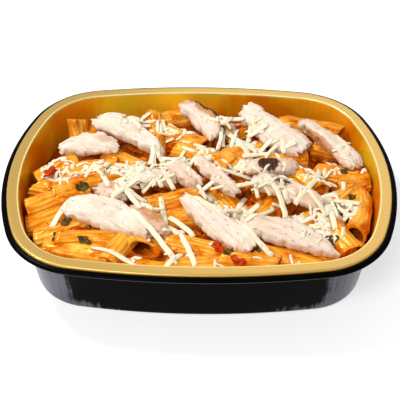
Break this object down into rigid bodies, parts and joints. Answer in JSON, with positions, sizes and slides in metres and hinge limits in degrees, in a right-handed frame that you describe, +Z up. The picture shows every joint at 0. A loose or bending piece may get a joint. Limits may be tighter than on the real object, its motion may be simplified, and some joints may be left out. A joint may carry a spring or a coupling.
{
  "type": "baked pasta with chicken in a foil tray",
  "caption": "Shallow round-cornered foil tray, gold inside and black outside, filled with tube pasta in tomato sauce under torn chicken strips and shredded cheese.",
  "frame": {"origin": "middle of the flat base, on the surface that the tray stands on", "axes": "+X along the long side, to the right in the picture; +Y away from the viewer; +Z up"},
  "size_m": [0.2266, 0.1742, 0.0463],
  "materials": {
    "tray": "thin aluminium foil sheet, clear gold lacquer inside and on the flange, glossy black lacquer outside",
    "pasta": "cooked ridged pasta tubes, wet and glossy with orange tomato sauce",
    "chicken": "cooked chicken breast, moist and fibrous, cream with browned edges",
    "tray_outside": "glossy black lacquer on the outside of the foil, seen on the rolled hem and the outer wall",
    "sauce": "thick orange tomato sauce with a film of oil, wet and glossy",
    "cheese": "ivory mozzarella shreds, softly waxy",
    "herb": "wilted herb leaves, dark olive brown",
    "tomato": "stewed pieces of tomato, orange red and wet"
  },
  "bodies": {
    "root": {"tray": "tray", "pasta": "pasta", "chicken_back_left": "chicken", "chicken_back": "chicken", "chicken_back_right": "chicken", "chicken_rim_right": "chicken", "chicken_front_left": "chicken", "chicken_long_middle": "chicken", "chicken_front_right": "chicken", "chicken_middle": "chicken", "chicken_peppered": "chicken", "chicken_grilled": "chicken", "chicken_left": "chicken", "chicken_browned": "chicken", "chicken_shaded": "chicken", "chicken_under_cheese": "chicken", "chicken_centre_left": "chicken"}
  },
  "joints": []
}
